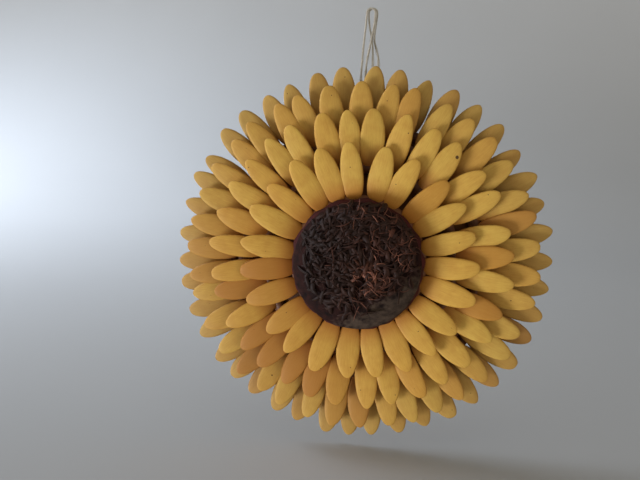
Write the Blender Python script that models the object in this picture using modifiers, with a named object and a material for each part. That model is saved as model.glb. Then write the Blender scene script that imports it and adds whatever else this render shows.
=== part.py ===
"""Hanging sunflower ornament: four rows of dyed light-wood petals round a dome of brown shavings, on a
round backing board, with a doubled twine loop to hang it by.

Everything is modelled lying down, with +Z out of the flower's face, +Y up and its back on z = 0. One empty
then stands it up: the face looks along -Y, and the origin is where a hook carries the twine loop.
"""

import math
import random
from collections import namedtuple

import bmesh
import bpy
from mathutils import Matrix, Vector

# Driving dimensions, in metres. A height is a distance in front of the flower's back.
FLOWER_DIAMETER = 0.365
FLOWER_THICKNESS = 0.070
GAP = 0.0003
SEED = 365

# Petals: one cut for all rows. Crown and belly are the thickness above and below the edge's plane.
PETAL_LENGTH = 0.055
PETAL_WIDTH = 0.0226
PETAL_CROWN = 0.0026
PETAL_BELLY = 0.0018
PETAL_ARCH = 0.0025
WIDEST_AT = 0.46
ROOT_SHARPNESS = 0.36
TIP_SHARPNESS = 0.48
END_THINNING = 0.8
PETAL_SIDES = 6
PETAL_STATIONS = 5

# Seeded differences between petals.
TURN_SPREAD = 0.12
LENGTH_SPREAD = 0.03
WIDTH_RANGE = (0.93, 1.04)
ARCH_SPREAD = 0.0008
YAW_SPREAD = math.radians(2.2)
ROLL_SPREAD = math.radians(6.0)
TILT_SPREAD = math.radians(0.9)

# Each row of petals is glued up on a ring, and the rings sit on the steps of the foam core.
RING_WIDTH = 0.011
RING_THICKNESS = 0.0042
ROOT_ABOVE_TREAD = 0.0025

Row = namedtuple("Row", "name count phase tip_radius root_height tip_height")
ROWS = (
    Row("petal_row_1", 23, -0.28, 0.1135, 0.0330, 0.0395),
    Row("petal_row_2", 32, 0.48, 0.1446, 0.0260, 0.0330),
    Row("petal_row_3", 38, 0.72, 0.1690, 0.0180, 0.0240),
    Row("petal_row_4", 42, 0.12, FLOWER_DIAMETER / 2, 0.0105, 0.0125),
)

BOARD_RADIUS = 0.128
BOARD_THICKNESS = 0.0035
BOARD_EDGE = 0.0006

# Half ball that carries the shavings: an ellipse about its widest level, with a flat cut underneath.
BALL_RADIUS = 0.062
BALL_WIDEST = 0.042
BALL_BOTTOM = 0.0378
BALL_STEPS = 7

# Shavings: a felted mat over the ball's top, with curled strips standing out of it.
MAT_THICKNESS = 0.0018
MAT_EDGE_ANGLE = math.radians(20)
MAT_STEPS = 5
CURL_STAND = 0.0044
BALL_RISE = FLOWER_THICKNESS - BALL_WIDEST - GAP - MAT_THICKNESS - CURL_STAND
CURL_COUNT = 66
CURL_LENGTH = (0.017, 0.024)
CURL_WIDTH = (0.0044, 0.0060)
CURL_THICKNESS = 0.0008
CURL_BEND = (math.radians(70), math.radians(150))
CURL_STEPS = 3
CURL_END_SHARE = 0.45
CURL_FOOT = 0.0005
CURL_REACH = 0.054
CURL_LIFT = (math.radians(4), math.radians(26))

# Twine: two loops of one diameter, tied in a knot that lies in a notch of the core, on the board.
TWINE_DIAMETER = 0.0020
BIGHT_RADIUS = 0.0040
HANG_DROP = 0.236
HOOK_HEIGHT = 0.0035
LOOP_APART = 0.0012
LOOP_ASIDE = 0.0008
TWINE_STEP = 0.0075
NOTCH_WIDTH = 0.026
NOTCH_BOTTOM = 0.100
NOTCH_OVERRUN = 0.010
KNOT_CENTRE = (0.0, 0.108, 0.0058)
KNOT_HALF_SIZE = (0.0085, 0.0050, 0.0019)
KNOT_LOBES = 4
KNOT_LOBE_DEPTH = 0.08

TURN_STEPS = 32
CORE_TOP_RADIUS = 0.0495
SHARP_ANGLE = math.radians(65)

PETAL_YELLOW = (0.62, 0.36, 0.06)
BOARD_BROWN = (0.45, 0.31, 0.18)
FOAM_BROWN = (0.20, 0.13, 0.08)
BALL_MAROON = (0.035, 0.012, 0.010)
SHAVING_BROWN = (0.060, 0.022, 0.015)
TWINE_BEIGE = (0.42, 0.36, 0.26)


def clear_scene():
    for obj in list(bpy.data.objects):
        bpy.data.objects.remove(obj, do_unlink=True)


def material(name, colour, roughness):
    made = bpy.data.materials.new(name)
    made.use_nodes = True
    surface = made.node_tree.nodes["Principled BSDF"]
    surface.inputs["Base Color"].default_value = (*colour, 1.0)
    surface.inputs["Roughness"].default_value = roughness
    surface.inputs["Metallic"].default_value = 0.0
    return made


def new_object(name, bm, collection):
    """An object at the origin whose mesh is this bmesh."""
    mesh = bpy.data.meshes.new(name)
    bm.to_mesh(mesh)
    bm.free()
    obj = bpy.data.objects.new(name, mesh)
    collection.objects.link(obj)
    return obj


def take_modifiers(obj):
    """Puts the mesh that the modifiers make in the object's own place, and clears them."""
    graph = bpy.context.evaluated_depsgraph_get()
    mesh = bpy.data.meshes.new_from_object(obj.evaluated_get(graph))
    obj.modifiers.clear()
    obj.data = mesh


def fuse(obj, pieces, collection):
    """Joins every object of the pieces' collection to obj in one union, and removes them."""
    union = obj.modifiers.new("union", "BOOLEAN")
    union.operation = "UNION"
    union.solver = "EXACT"
    union.operand_type = "COLLECTION"
    union.collection = pieces
    take_modifiers(obj)
    for piece in list(pieces.objects):
        bpy.data.objects.remove(piece, do_unlink=True)
    bpy.data.collections.remove(pieces)


def turned(name, profile, collection, is_ring=False):
    """A profile of (radius, height) points, listed down its outer side, turned about +Z."""
    bm = bmesh.new()
    points = [bm.verts.new((radius, 0.0, height)) for radius, height in profile]
    for first, second in zip(points, points[1:]):
        bm.edges.new((first, second))
    if is_ring:
        bm.edges.new((points[-1], points[0]))
    obj = new_object(name, bm, collection)
    screw = obj.modifiers.new("turn", "SCREW")
    screw.steps = TURN_STEPS
    screw.render_steps = TURN_STEPS
    screw.use_merge_vertices = True
    screw.merge_threshold = 0.00001
    screw.use_smooth_shade = False
    take_modifiers(obj)
    return obj


def petal_profile(along):
    """Share of the full half width at a place along the petal, from 0 at the root to 1 at the tip."""
    reach, sharpness = (WIDEST_AT, ROOT_SHARPNESS) if along < WIDEST_AT else (1 - WIDEST_AT, TIP_SHARPNESS)
    return max(0.0, 1 - ((along - WIDEST_AT) / reach) ** 2) ** sharpness


def petal_shapes(row, number):
    """The turn about the flower's axis and the size of each petal in a row: even, with seeded differences."""
    draw = random.Random(SEED + number)
    shapes = []
    for index in range(row.count):
        place = index + row.phase + draw.uniform(-TURN_SPREAD, TURN_SPREAD)
        shapes.append(
            {
                "turn": place * math.tau / row.count,
                "length": PETAL_LENGTH * (1 + draw.uniform(-LENGTH_SPREAD, LENGTH_SPREAD)),
                "width": PETAL_WIDTH * draw.uniform(*WIDTH_RANGE),
                "arch": PETAL_ARCH + draw.uniform(-ARCH_SPREAD, ARCH_SPREAD),
                "yaw": draw.uniform(-YAW_SPREAD, YAW_SPREAD),
                "roll": draw.uniform(-ROLL_SPREAD, ROLL_SPREAD),
                "tilt": draw.uniform(-TILT_SPREAD, TILT_SPREAD),
            }
        )
    return shapes


def root_radius(row):
    return row.tip_radius - math.sqrt(PETAL_LENGTH**2 - (row.tip_height - row.root_height) ** 2)


def petal_place(row, shape):
    """The matrix that carries a petal lying along +Y, its root at the origin, to its place in the row."""
    slope = math.asin((row.tip_height - row.root_height) / PETAL_LENGTH)
    return (
        Matrix.Rotation(-shape["turn"], 4, "Z")
        @ Matrix.Translation((0.0, root_radius(row), row.root_height))
        @ Matrix.Rotation(shape["yaw"], 4, "Z")
        @ Matrix.Rotation(slope + shape["tilt"], 4, "X")
        @ Matrix.Rotation(shape["roll"], 4, "Y")
    )


def petal(row, shape, collection):
    """A ball drawn out from root to tip: crowned in front, flatter behind, and arched along its length."""
    bm = bmesh.new()
    bmesh.ops.create_uvsphere(bm, u_segments=PETAL_SIDES, v_segments=PETAL_STATIONS, radius=1.0)
    # Half a side's turn puts the widest corners at the two edges and a flat side uppermost.
    lay_down = Matrix.Rotation(-math.pi / 2, 3, "X") @ Matrix.Rotation(math.pi / PETAL_SIDES, 3, "Z")
    bmesh.ops.rotate(bm, verts=bm.verts, matrix=lay_down)
    for vert in bm.verts:
        along = min(1.0, max(0.0, (vert.co.y + 1) / 2))
        share = petal_profile(along)
        round_x, round_z = Vector((vert.co.x, vert.co.z)).normalized() if share > 0 else (0.0, 0.0)
        thickness = PETAL_CROWN if round_z > 0 else PETAL_BELLY
        arch = shape["arch"] * (1 - (2 * along - 1) ** 2)
        vert.co = (
            round_x * share * shape["width"] / 2,
            along * shape["length"],
            round_z * thickness * share**END_THINNING + arch,
        )
    bmesh.ops.transform(bm, matrix=petal_place(row, shape), verts=bm.verts)
    return new_object("petal", bm, collection)


def petal_row(row, number, flower, scene):
    """A ring with the row's petals set in it by their roots."""
    middle = root_radius(row)
    low = row.root_height - ROOT_ABOVE_TREAD + GAP
    high = low + RING_THICKNESS
    inner, outer = middle - RING_WIDTH / 2, middle + RING_WIDTH / 2
    ring = turned(row.name, [(outer, high), (outer, low), (inner, low), (inner, high)], flower, is_ring=True)
    pieces = bpy.data.collections.new("petals_to_fuse")
    scene.children.link(pieces)
    for shape in petal_shapes(row, number):
        petal(row, shape, pieces)
    fuse(ring, pieces, flower)
    return ring


def backing_board(flower):
    bpy.ops.mesh.primitive_cylinder_add(
        vertices=64, radius=BOARD_RADIUS, depth=BOARD_THICKNESS, location=(0, 0, BOARD_THICKNESS / 2)
    )
    board = bpy.context.active_object
    board.name = "backing_board"
    for owner in list(board.users_collection):
        owner.objects.unlink(board)
    flower.objects.link(board)
    edge = board.modifiers.new("eased_edge", "BEVEL")
    edge.width = BOARD_EDGE
    edge.segments = 1
    edge.limit_method = "ANGLE"
    return board


def foam_core(flower, cutters):
    """A stepped round core: one tread under each ring of petals, the half ball on its top, and a notch
    at the top of its lowest step for the knot and the twine."""
    front, second, third, back = ROWS
    bottom = BOARD_THICKNESS + GAP
    treads = {row.name: row.root_height - ROOT_ABOVE_TREAD for row in ROWS}
    inside = {row.name: root_radius(row) - RING_WIDTH / 2 - GAP for row in ROWS}
    outside = {row.name: root_radius(row) + RING_WIDTH / 2 for row in ROWS}
    profile = [
        (0.0, BALL_BOTTOM - GAP),
        (CORE_TOP_RADIUS, BALL_BOTTOM - GAP),
        (inside[front.name], treads[front.name]),
        (outside[front.name], treads[front.name]),
        (inside[second.name], treads[second.name]),
        (outside[second.name], treads[second.name]),
        (inside[third.name], treads[third.name]),
        (inside[back.name], treads[third.name]),
        (inside[back.name], treads[back.name]),
        (BOARD_RADIUS, treads[back.name]),
        (BOARD_RADIUS, bottom),
        (0.0, bottom),
    ]
    core = turned("foam_core", profile, flower)
    notch_height = treads[back.name] - bottom
    notch_length = BOARD_RADIUS - NOTCH_BOTTOM + NOTCH_OVERRUN
    bpy.ops.mesh.primitive_cube_add(size=1, location=(0, NOTCH_BOTTOM + notch_length / 2, bottom))
    cutter = bpy.context.active_object
    cutter.name = "notch_cutter"
    cutter.scale = (NOTCH_WIDTH, notch_length, 2 * (notch_height + GAP))
    for owner in list(cutter.users_collection):
        owner.objects.unlink(cutter)
    cutters.objects.link(cutter)
    cutter.hide_render = True
    cutter.display_type = "WIRE"
    cut = core.modifiers.new("notch", "BOOLEAN")
    cut.operation = "DIFFERENCE"
    cut.solver = "EXACT"
    cut.object = cutter
    return core


def ball_point(angle, out=0.0):
    """Radius and height of the half ball's surface at an angle above its widest level, moved out."""
    radius, rise = BALL_RADIUS * math.cos(angle), BALL_RISE * math.sin(angle)
    normal = Vector((radius / BALL_RADIUS**2, rise / BALL_RISE**2)).normalized()
    return radius + normal.x * out, BALL_WIDEST + rise + normal.y * out


def centre_ball(flower):
    lowest = math.asin((BALL_BOTTOM - BALL_WIDEST) / BALL_RISE)
    angles = [math.pi / 2 + (lowest - math.pi / 2) * i / BALL_STEPS for i in range(BALL_STEPS + 1)]
    profile = [(max(0.0, radius), height) for radius, height in map(ball_point, angles)]
    profile[0] = (0.0, profile[0][1])
    profile.append((0.0, BALL_BOTTOM))
    return turned("centre_ball", profile, flower)


def height_above_ball(point):
    """Distance of a point from the half ball's surface, near to it, as the ellipse's equation gives it."""
    radius, rise = math.hypot(point.x, point.y), point.z - BALL_WIDEST
    level = (radius / BALL_RADIUS) ** 2 + (rise / BALL_RISE) ** 2 - 1
    return level / (2 * math.hypot(radius / BALL_RADIUS**2, rise / BALL_RISE**2))


def curl(draw, index, collection):
    """One curled strip of three sides, let down along the ball's normal until its lowest corner is sunk."""
    length = draw.uniform(*CURL_LENGTH)
    width = draw.uniform(*CURL_WIDTH)
    bend = draw.uniform(*CURL_BEND)
    lift = draw.uniform(*CURL_LIFT)
    heading = draw.uniform(0, math.tau)
    bm = bmesh.new()
    bmesh.ops.create_cone(bm, cap_ends=True, segments=3, radius1=0.5, radius2=0.5, depth=1.0)
    long_edges = [e for e in bm.edges if abs(e.verts[0].co.z - e.verts[1].co.z) > 0.5]
    bmesh.ops.subdivide_edges(bm, edges=long_edges, cuts=CURL_STEPS - 1)
    radius = length / bend
    for vert in bm.verts:
        along = vert.co.z + 0.5
        taper = CURL_END_SHARE + (1 - CURL_END_SHARE) * math.sin(math.pi * along)
        turn = (along - 0.5) * bend
        out = radius + vert.co.y * CURL_THICKNESS * 2
        vert.co = (out * math.sin(turn), vert.co.x * width * taper, out * math.cos(turn) - radius)
    # Golden-angle places spread the curls evenly over the mat.
    spread = CURL_REACH * math.sqrt((index + 0.5) / CURL_COUNT)
    angle = math.acos(spread / BALL_RADIUS)
    foot_radius, foot_height = ball_point(angle)
    foot = Vector((foot_radius, 0.0, foot_height))
    normal = Vector((math.cos(angle) / BALL_RADIUS, 0.0, math.sin(angle) / BALL_RISE)).normalized()
    turn = Matrix.Rotation(index * math.pi * (3 - math.sqrt(5)), 4, "Z")
    place = (
        turn
        @ Matrix.Translation(foot + normal * BALL_RISE / 2)
        @ normal.to_track_quat("Z", "Y").to_matrix().to_4x4()
        @ Matrix.Rotation(heading, 4, "Z")
        @ Matrix.Rotation(lift, 4, "X")
    )
    bmesh.ops.transform(bm, matrix=place, verts=bm.verts)
    down = -(turn.to_3x3() @ normal)
    # The distance is close only near to the ball, so it is taken again after each move.
    for _ in range(4):
        drop = min(height_above_ball(vert.co) for vert in bm.verts) - (GAP + CURL_FOOT)
        bmesh.ops.translate(bm, verts=bm.verts, vec=down * drop)
    bmesh.ops.recalc_face_normals(bm, faces=bm.faces)
    return new_object("curl", bm, collection)


def shavings(flower, scene):
    angles = [math.pi / 2 + (MAT_EDGE_ANGLE - math.pi / 2) * i / MAT_STEPS for i in range(MAT_STEPS + 1)]
    outside = [ball_point(angle, GAP + MAT_THICKNESS) for angle in angles]
    inside = [ball_point(angle, GAP) for angle in reversed(angles)]
    outside[0] = (0.0, outside[0][1])
    inside[-1] = (0.0, inside[-1][1])
    mat = turned("shavings", outside + inside, flower)
    pieces = bpy.data.collections.new("curls_to_fuse")
    scene.children.link(pieces)
    draw = random.Random(SEED)
    for index in range(CURL_COUNT):
        curl(draw, index, pieces)
    fuse(mat, pieces, flower)
    return mat


def smooth_line(points):
    """A smooth curve through the points, with a point of its own at each and at even steps between."""
    points = [Vector(p) for p in points]
    padded = [2 * points[0] - points[1], *points, 2 * points[-1] - points[-2]]
    line = []
    for a, b, c, d in zip(padded, padded[1:], padded[2:], padded[3:]):
        steps = max(1, round((c - b).length / TWINE_STEP))
        for step in range(steps):
            t = step / steps
            line.append(
                0.5
                * (
                    2 * b
                    + (c - a) * t
                    + (2 * a - 5 * b + 4 * c - d) * t**2
                    + (3 * b - a - 3 * c + d) * t**3
                )
            )
    line.append(points[-1])
    return line


def bight(aside, height):
    """The turn of the loop over its hook, from the left leg to the right one."""
    centre = HANG_DROP + TWINE_DIAMETER / 2 - BIGHT_RADIUS
    turns = [math.radians(angle) for angle in range(180, -1, -30)]
    return [(aside + BIGHT_RADIUS * math.cos(a), centre + BIGHT_RADIUS * math.sin(a), height) for a in turns]


# The legs of the two loops, from the knot up to the hook. Each point is (x, y, height).
FRONT_LOOP_LEFT = (
    (-0.0060, 0.1145, 0.0050),
    (-0.0074, 0.1220, 0.0050),
    (-0.0080, 0.1400, 0.0054),
    (-0.0078, 0.1620, 0.0060),
    (-0.0071, 0.1880, 0.0062),
    (-0.0062, 0.2080, 0.0056),
    (-0.0052, 0.2220, 0.0050),
    (-0.0048, 0.2310, 0.0048),
)
FRONT_LOOP_RIGHT = (
    (0.0032, 0.2310, 0.0048),
    (0.0027, 0.2230, 0.0050),
    (0.0017, 0.2150, 0.0056),
    (0.0005, 0.2070, 0.0062),
    (-0.0012, 0.1980, 0.0064),
    (-0.0027, 0.1880, 0.0064),
    (-0.0034, 0.1700, 0.0060),
    (-0.0032, 0.1420, 0.0054),
    (-0.0026, 0.1230, 0.0050),
    (-0.0020, 0.1145, 0.0050),
)
BACK_LOOP_LEFT = (
    (0.0020, 0.1145, 0.0050),
    (0.0026, 0.1230, 0.0050),
    (0.0030, 0.1420, 0.0048),
    (0.0030, 0.1680, 0.0040),
    (0.0027, 0.1900, 0.0034),
    (0.0018, 0.2020, 0.0030),
    (0.0000, 0.2120, 0.0026),
    (-0.0021, 0.2220, 0.0024),
    (-0.0032, 0.2310, 0.0023),
)
BACK_LOOP_RIGHT = (
    (0.0048, 0.2310, 0.0023),
    (0.0041, 0.2230, 0.0022),
    (0.0032, 0.2130, 0.0018),
    (0.0036, 0.2060, 0.0017),
    (0.0058, 0.1990, 0.0020),
    (0.0078, 0.1910, 0.0028),
    (0.0086, 0.1780, 0.0036),
    (0.0088, 0.1600, 0.0042),
    (0.0084, 0.1400, 0.0048),
    (0.0076, 0.1230, 0.0050),
    (0.0060, 0.1145, 0.0050),
)


def twine_loop(name, left, right, aside, height, flower):
    route = [*left, *bight(aside, height), *right]
    line = smooth_line(route)
    curve = bpy.data.curves.new(name, "CURVE")
    curve.dimensions = "3D"
    curve.bevel_depth = TWINE_DIAMETER / 2
    curve.bevel_resolution = 2
    curve.use_fill_caps = True
    spline = curve.splines.new("POLY")
    spline.points.add(len(line) - 1)
    for point, place in zip(spline.points, line):
        point.co = (*place, 1.0)
    obj = bpy.data.objects.new(name, curve)
    flower.objects.link(obj)
    return obj


def twine_knot(flower):
    bm = bmesh.new()
    bmesh.ops.create_uvsphere(bm, u_segments=16, v_segments=8, radius=1.0)
    for vert in bm.verts:
        # Shallow lobes stand for the knot's turns.
        lobes = 1 + KNOT_LOBE_DEPTH * math.cos(KNOT_LOBES * math.atan2(vert.co.y, vert.co.x))
        vert.co = [
            centre + half * value * (lobes if axis < 2 else 1.0)
            for axis, (centre, half, value) in enumerate(zip(KNOT_CENTRE, KNOT_HALF_SIZE, vert.co))
        ]
    return new_object("twine_knot", bm, flower)


def main():
    clear_scene()
    scene = bpy.context.scene.collection
    flower = bpy.data.collections.new("hanging_sunflower")
    cutters = bpy.data.collections.new("cutters")
    scene.children.link(flower)
    scene.children.link(cutters)

    petals = material("dyed_wood", PETAL_YELLOW, 0.65)
    parts = {}
    for number, row in enumerate(ROWS, start=1):
        parts[petal_row(row, number, flower, scene)] = petals
    parts[backing_board(flower)] = material("plywood", BOARD_BROWN, 0.8)
    parts[foam_core(flower, cutters)] = material("foam", FOAM_BROWN, 0.9)
    parts[centre_ball(flower)] = material("painted_foam", BALL_MAROON, 0.8)
    parts[shavings(flower, scene)] = material("dyed_shavings", SHAVING_BROWN, 0.75)
    twine = material("jute_twine", TWINE_BEIGE, 0.9)
    front, back = HOOK_HEIGHT + LOOP_APART, HOOK_HEIGHT - LOOP_APART
    front_loop = twine_loop("twine_loop_front", FRONT_LOOP_LEFT, FRONT_LOOP_RIGHT, -LOOP_ASIDE, front, flower)
    back_loop = twine_loop("twine_loop_back", BACK_LOOP_LEFT, BACK_LOOP_RIGHT, LOOP_ASIDE, back, flower)
    parts[front_loop] = parts[back_loop] = twine
    parts[twine_knot(flower)] = twine

    stand = bpy.data.objects.new("hang_point", None)
    flower.objects.link(stand)
    stand.rotation_euler = (math.pi / 2, 0, 0)
    stand.location = (0, HOOK_HEIGHT, -HANG_DROP)
    for obj, finish in parts.items():
        obj.data.materials.clear()
        obj.data.materials.append(finish)
        obj.parent = stand
        if obj.type == "MESH":
            obj.data.shade_smooth()
            obj.data.set_sharp_from_angle(angle=SHARP_ANGLE)
    for cutter in cutters.objects:
        cutter.parent = stand


main()
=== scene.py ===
"""Looks of the hanging sunflower ornament: carved and dyed petals, a dome of curled shavings, a plywood back
and a doubled jute loop.

The flower is shaped lying down, with +Z out of its face, +Y up and its back on z = 0, and STAND then stands
it up in the frame. A height is a distance in front of the flower's back.
"""

import math
import random
from collections import namedtuple

import bmesh
import bpy
from mathutils import Matrix, Vector, noise


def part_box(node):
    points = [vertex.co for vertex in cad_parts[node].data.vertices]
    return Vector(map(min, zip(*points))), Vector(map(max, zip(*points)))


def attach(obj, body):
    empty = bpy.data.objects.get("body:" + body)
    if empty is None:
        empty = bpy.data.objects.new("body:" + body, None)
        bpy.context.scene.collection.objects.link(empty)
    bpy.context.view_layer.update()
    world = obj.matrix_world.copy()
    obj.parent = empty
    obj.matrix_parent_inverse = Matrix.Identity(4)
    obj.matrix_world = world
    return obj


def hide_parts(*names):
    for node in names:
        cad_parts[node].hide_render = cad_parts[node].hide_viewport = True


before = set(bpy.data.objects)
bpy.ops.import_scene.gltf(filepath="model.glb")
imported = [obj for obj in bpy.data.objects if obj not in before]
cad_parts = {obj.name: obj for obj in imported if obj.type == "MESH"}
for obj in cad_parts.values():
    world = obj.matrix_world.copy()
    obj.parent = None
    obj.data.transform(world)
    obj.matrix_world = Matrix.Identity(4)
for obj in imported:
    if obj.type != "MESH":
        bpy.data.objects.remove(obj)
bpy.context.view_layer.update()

MM = 0.001
SEED = 365

# The frame's own sizes.
board_low, board_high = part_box("backing_board")
HANG_DROP = -(board_low.z + board_high.z) / 2
HOOK_HEIGHT = board_high.y
BOARD_RADIUS = (board_high.z - board_low.z) / 2
BOARD_THICKNESS = board_high.y - board_low.y
STAND = Matrix.Translation((0, HOOK_HEIGHT, -HANG_DROP)) @ Matrix.Rotation(math.pi / 2, 4, "X")
FLOWER_RADIUS = (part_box("petal_row_4")[1].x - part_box("petal_row_4")[0].x) / 2
GAP = 0.3 * MM

# Petals: the same cut and the same seeded differences as their solids have.
PETAL_LENGTH = 55 * MM
PETAL_WIDTH = 22.6 * MM
PETAL_CROWN = 2.6 * MM
PETAL_BELLY = 1.8 * MM
PETAL_ARCH = 2.5 * MM
WIDEST_AT = 0.46
ROOT_SHARPNESS = 0.36
TIP_SHARPNESS = 0.48
END_THINNING = 0.8
TURN_SPREAD = 0.12
LENGTH_SPREAD = 0.03
WIDTH_RANGE = (0.93, 1.04)
ARCH_SPREAD = 0.8 * MM
YAW_SPREAD = math.radians(2.2)
ROLL_SPREAD = math.radians(6.0)
TILT_SPREAD = math.radians(0.9)
RING_WIDTH = 11 * MM
RING_THICKNESS = 4.2 * MM
ROOT_ABOVE_TREAD = 2.5 * MM

# Differences between petals that only show up close.
PETAL_SIDES = 20
PETAL_STATIONS = 22
SECTION_FLATNESS = 0.72
BOW_SPREAD = 0.6 * MM
LEAN_SPREAD = 1.3 * MM
TWIST_SPREAD = math.radians(7)
SHARPNESS_SPREAD = 0.08
# The petals at the lower left are made more orange, those in front above all.
ORANGE_AT = math.radians(235)
ORANGE_MORE = 0.6
LUMP_HEIGHT = 0.28 * MM
LUMP_LENGTH = 14 * MM

# Phase is in shares of the space from one petal to the next. Painted rear shade: the rows behind are painted
# duller and browner, as painted shade for the shadow that the rows in front cast on them.
Row = namedtuple("Row", "name count phase tip_radius root_height tip_height dullness")
ROWS = (
    Row("petal_row_1", 23, -0.28, 113.5 * MM, 33.0 * MM, 39.5 * MM, 0.0),
    Row("petal_row_2", 32, 0.48, 144.6 * MM, 26.0 * MM, 33.0 * MM, 0.04),
    Row("petal_row_3", 38, 0.72, 169.0 * MM, 18.0 * MM, 24.0 * MM, 0.18),
    Row("petal_row_4", 42, 0.12, 182.5 * MM, 10.5 * MM, 12.5 * MM, 0.42),
)

# The half ball, an ellipse about its widest level, and the shavings on it.
BALL_RADIUS = 62 * MM
BALL_WIDEST = 42 * MM
BALL_RISE = 21.5 * MM
BALL_BOTTOM = 37.8 * MM
MAT_THICKNESS = 1.5 * MM
MAT_EDGE_ANGLE = math.radians(20)
MAT_LUMP_LENGTH = 5 * MM
MAT_LUMP_HEIGHT = 0.9 * MM
RIM_RUN = 3.2 * MM
RIM_WAVES = 5
RIM_FROM = 0.8
STRIP_THICKNESS = 0.2 * MM
STRIP_SEGMENTS = 8
# The shavings were pressed on a little above the dome's middle, so its lowest edge is nearly bare.
STRIPS_ACROSS = 2 * MM
STRIPS_UP = 7 * MM
STRIPS_REACH = 53 * MM
# Some of the palest shavings lie together, a little to the right of the middle.
PALE_PLACE = Vector((9 * MM, -7 * MM))
PALE_REACH = 13 * MM
PALE_TONE = 0.8
# Few shavings lie past a line that slants up to the right. Towards the left they thin out and darken.
BARE_SLANT = 0.72
BARE_PAST = 38 * MM
BARE_SHARE = 0.9
DRY_PAST = 72 * MM
THIN_LEFT_OF = -34 * MM
THIN_SHARE = 0.5
DARK_LEFT_OF = 10 * MM
DARK_SHARE = 0.6
STRIPS_STAND = 5.6 * MM
STRIP_SAG = 2.4 * MM
STRIP_LEAN = 0.15

# Flakes lie flat, curls stand on them, and threads are the thin edges of curls that split off; the threads'
# pale tone is partly painted highlight along those edges. Lengths, widths and lifts are in millimetres and
# angles in degrees. Tone goes from dark to pale, and sweep is the sideways bend, as a share of the length.
Shaving = namedtuple("Shaving", "count length width bend twist tilt lift tone sweep")
SHAVINGS = (
    Shaving(330, (11, 20), (2.8, 5.2), (30, 110), 35, 16, (0.1, 2.2), 0.30, 0.5),
    Shaving(230, (12, 22), (2.0, 4.4), (60, 170), 60, 30, (0.8, 3.2), 0.42, 0.9),
    Shaving(230, (10, 22), (0.5, 1.0), (60, 160), 50, 40, (1.2, 3.6), 0.72, 1.5),
)

SHARP_ANGLE = math.radians(35)
CORE_TOP_RADIUS = 49.5 * MM
NOTCH_WIDTH = 26 * MM
NOTCH_BOTTOM = 100 * MM

# Twine: jute spun in two yarns and laid in a loop, doubled, down to a knot on the board.
TWINE_DIAMETER = 2.0 * MM
BIGHT_RADIUS = 4.0 * MM
ROUTE_STEP = 1.0 * MM
LOOP_APART = 1.2 * MM
LOOP_ASIDE = 0.8 * MM
YARN_COUNT = 3
YARN_RADIUS = 0.50 * MM
YARN_OFFSET = 0.50 * MM
YARN_PITCH = 9 * MM
YARN_SWELL = 0.14
FUZZ_COUNT = 90
FUZZ_RADIUS = 0.09 * MM
KNOT_CENTRE = Vector((0.0, 108 * MM, 5.8 * MM))
KNOT_TURNS = 3.5
KNOT_LENGTH = 13 * MM
KNOT_HEIGHT = 3.4 * MM
KNOT_DEPTH = 0.85 * MM

# Camera, as fitted to the photo: it stands to the right of the flower and above it, and leans a little.
IMAGE_WIDTH, IMAGE_HEIGHT = 640, 480
FOCAL_PIXELS = 700
SENSOR_WIDTH = 36
CAMERA_AZIMUTH = math.radians(3.9)
CAMERA_ELEVATION = math.radians(10.5)
CAMERA_ROLL = math.radians(2.8)
CAMERA_DISTANCE = 0.698
FLOWER_PIXEL = (360.7, 256.6)

FLOOR_DROP = 10 * MM


def colour(code):
    """Linear red, green, blue and alpha from an sRGB hex code."""
    parts = [int(code[i : i + 2], 16) / 255 for i in (1, 3, 5)]
    return (*[c / 12.92 if c <= 0.04045 else ((c + 0.055) / 1.055) ** 2.4 for c in parts], 1.0)


def add(tree, kind, inputs=None, **settings):
    """Adds a node with its settings, and gives each input a value or a link."""
    made = tree.nodes.new(kind)
    for name, value in settings.items():
        setattr(made, name, value)
    for key, value in (inputs or {}).items():
        if isinstance(value, bpy.types.NodeSocket):
            tree.links.new(value, made.inputs[key])
        else:
            made.inputs[key].default_value = value
    return made


def new_material(name):
    """A material with only its Principled shader, and that shader."""
    made = bpy.data.materials.new(name)
    made.use_nodes = True
    return made, made.node_tree, made.node_tree.nodes["Principled BSDF"]


def finished(name, bm, materials, nodes=()):
    """A piece from a bmesh, stood up in the frame, with its materials, body and replaced nodes."""
    bmesh.ops.transform(bm, matrix=STAND, verts=bm.verts)
    mesh = bpy.data.meshes.new(name)
    bm.to_mesh(mesh)
    bm.free()
    for material in materials:
        mesh.materials.append(material)
    mesh.shade_smooth()
    piece = bpy.data.objects.new(name, mesh)
    bpy.context.scene.collection.objects.link(piece)
    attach(piece, "root")
    if nodes:
        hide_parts(*nodes)
    return piece


# Materials


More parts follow.
